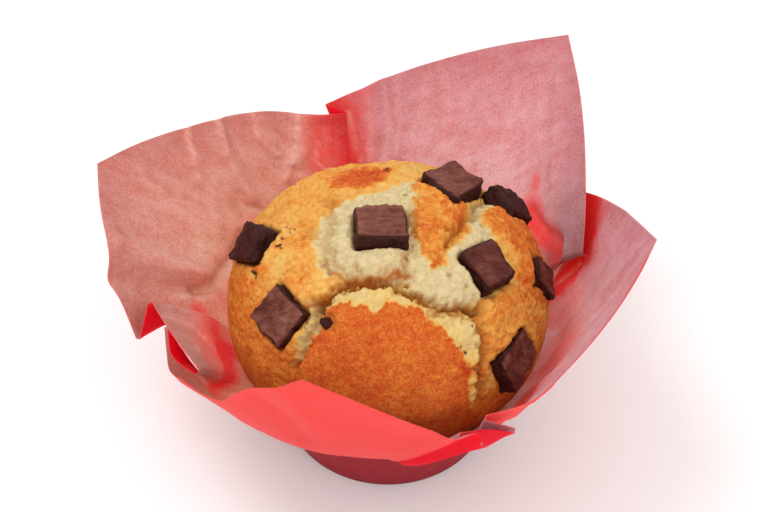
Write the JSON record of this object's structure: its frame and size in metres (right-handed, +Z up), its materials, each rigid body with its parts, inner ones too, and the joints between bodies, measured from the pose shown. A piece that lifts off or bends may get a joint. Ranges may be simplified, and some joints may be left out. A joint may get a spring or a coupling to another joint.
{
  "type": "chocolate chunk muffin",
  "caption": "Domed muffin with chocolate chunks, standing in a cup of folded square paper with tall pointed petals",
  "frame": {"origin": "middle of the flat base of the paper case", "axes": "+Z up, -Y towards the front of the muffin, +X to its right, which is the longest way across the paper"},
  "size_m": [0.1265, 0.1129, 0.0741],
  "materials": {
    "paper_case": "greaseproof, matt",
    "crumb": "baked crust and crumb",
    "chocolate": "soft sheen"
  },
  "bodies": {
    "root": {"paper_case": "paper_case", "muffin": "crumb", "chunk_top": "chocolate", "chunk_back": "chocolate", "chunk_right": "chocolate", "chunk_front_left": "chocolate", "chunk_left": "chocolate", "chunk_back_right": "chocolate", "chunk_right_edge": "chocolate", "chunk_front_right": "chocolate", "chip_front": "chocolate"}
  },
  "joints": []
}
